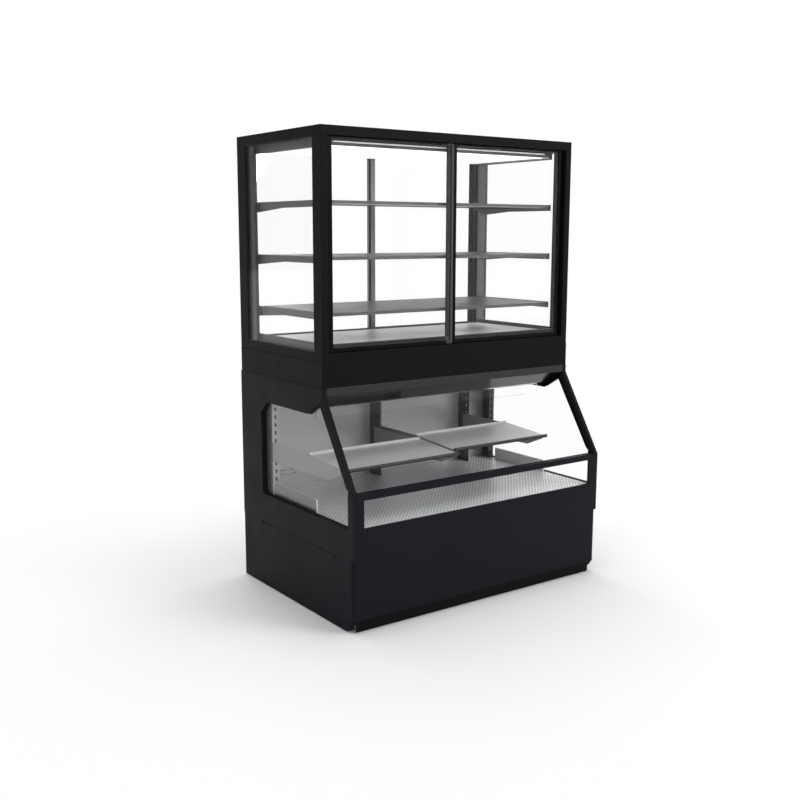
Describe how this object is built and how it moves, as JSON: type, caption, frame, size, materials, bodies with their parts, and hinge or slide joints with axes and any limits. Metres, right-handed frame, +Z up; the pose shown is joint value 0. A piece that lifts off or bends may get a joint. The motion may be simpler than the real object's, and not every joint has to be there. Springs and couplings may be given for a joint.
{
  "type": "refrigerated display case",
  "caption": "Tall two-tier refrigerated display case: glazed upper cabinet with swing front and sliding rear doors over an open-fronted lower case.",
  "frame": {"origin": "on the floor under the middle of the case", "axes": "+Z up, +Y from the customer's side to the rear, +X to the right seen from the front"},
  "size_m": [1.2, 0.816, 1.76],
  "materials": {
    "satin_black": "satin black powder coat",
    "anthracite": "satin anthracite powder coat",
    "stainless": "fine brushed stainless steel",
    "shelf_grey": "satin grey powder coat",
    "arm_grey": "light grey powder coat",
    "aluminium": "satin anodised aluminium",
    "clear_glass": "clear float glass and clear acrylic",
    "edge_black": "matt black plastic",
    "switch_red": "glossy rocker switch",
    "liner_white": "foam-filled white liner",
    "galvanised": "galvanised sheet steel",
    "fin_aluminium": "thin aluminium fins on tube",
    "fan_plastic": "black moulded plastic",
    "compressor_black": "black enamelled shell",
    "pin_steel": "plated steel pins and screws",
    "foot_rubber": "black rubber foot",
    "light_diffuser": "opal light diffuser"
  },
  "bodies": {
    "cabinet": {"air_back_panel": "stainless", "air_deflector": "clear_glass", "air_honeycomb": "aluminium", "apron": "satin_black", "base_frame": "galvanised", "bottom_frame": "satin_black", "canopy": "satin_black", "compressor": "compressor_black", "condensate_tray": "galvanised", "condenser_coil": "fin_aluminium", "condenser_shroud": "galvanised", "control_panel": "edge_black", "corner_posts": "satin_black", "cover_screws": "pin_steel", "display_shelves": "shelf_grey", "door_pivots": "pin_steel", "evaporator_coils": "fin_aluminium", "evaporator_fan_frames": "edge_black", "front_panel": "anthracite", "front_rail": "anthracite", "insulated_tub": "liner_white", "kick_plate": "satin_black", "led_strips": "light_diffuser", "levelling_feet": "foot_rubber", "light_panel": "shelf_grey", "lower_deck": "stainless", "lower_rear_posts": "anthracite", "lower_shelves": "shelf_grey", "lower_uprights": "arm_grey", "lower_windows": "clear_glass", "mid_board": "satin_black", "power_inlet": "edge_black", "rear_door_tracks": "aluminium", "rear_grille": "anthracite", "rear_panel": "anthracite", "shelf_arms": "arm_grey", "shelf_brackets": "arm_grey", "shelf_front_bars": "edge_black", "side_covers": "anthracite", "side_panels": "anthracite", "side_panes": "clear_glass", "slanted_posts": "satin_black", "top_frame": "satin_black", "top_panel": "satin_black", "upper_deck": "stainless", "upper_tub": "liner_white", "upper_uprights": "aluminium"},
    "front_door_left_body": {"front_door_left": "satin_black", "front_glass_left": "clear_glass"},
    "front_door_right_body": {"front_door_right": "satin_black", "front_glass_right": "clear_glass"},
    "rear_door_left_body": {"rear_door_left": "aluminium", "rear_glass_left": "clear_glass"},
    "rear_door_right_body": {"rear_door_right": "aluminium", "rear_glass_right": "clear_glass"},
    "evaporator_fan_left_body": {"evaporator_fan_left": "fan_plastic"},
    "evaporator_fan_right_body": {"evaporator_fan_right": "fan_plastic"},
    "condenser_fan_body": {"condenser_fan": "fan_plastic"},
    "power_switch_body": {"power_switch": "switch_red"},
    "light_switch_body": {"light_switch": "switch_red"}
  },
  "joints": [
    {"name": "front_door_left_swing", "type": "hinge", "parent": "cabinet", "child": "front_door_left_body", "pos_m": [-0.557, -0.19, 1.351], "axis": [0, 0, -1], "range_deg": [0, 90]},
    {"name": "front_door_right_swing", "type": "hinge", "parent": "cabinet", "child": "front_door_right_body", "pos_m": [0.557, -0.19, 1.351], "axis": [0, 0, 1], "range_deg": [0, 90]},
    {"name": "rear_door_left_slide", "type": "slide", "parent": "cabinet", "child": "rear_door_left_body", "axis": [1, 0, 0], "range_m": [0, 0.54]},
    {"name": "rear_door_right_slide", "type": "slide", "parent": "cabinet", "child": "rear_door_right_body", "axis": [-1, 0, 0], "range_m": [0, 0.54]},
    {"name": "evaporator_fan_left_spin", "type": "hinge", "parent": "cabinet", "child": "evaporator_fan_left_body", "pos_m": [-0.2, 0.305, 0.68], "axis": [0, 1, 0], "continuous": true},
    {"name": "evaporator_fan_right_spin", "type": "hinge", "parent": "cabinet", "child": "evaporator_fan_right_body", "pos_m": [0.2, 0.305, 0.68], "axis": [0, 1, 0], "continuous": true},
    {"name": "condenser_fan_spin", "type": "hinge", "parent": "cabinet", "child": "condenser_fan_body", "pos_m": [-0.3, 0.273, 0.1305], "axis": [0, 1, 0], "continuous": true},
    {"name": "power_switch_rock", "type": "hinge", "parent": "cabinet", "child": "power_switch_body", "pos_m": [0.315, 0.402, 0.898], "axis": [1, 0, 0], "range_deg": [0, 14]},
    {"name": "light_switch_rock", "type": "hinge", "parent": "cabinet", "child": "light_switch_body", "pos_m": [0.349, 0.402, 0.898], "axis": [1, 0, 0], "range_deg": [0, 14]}
  ]
}
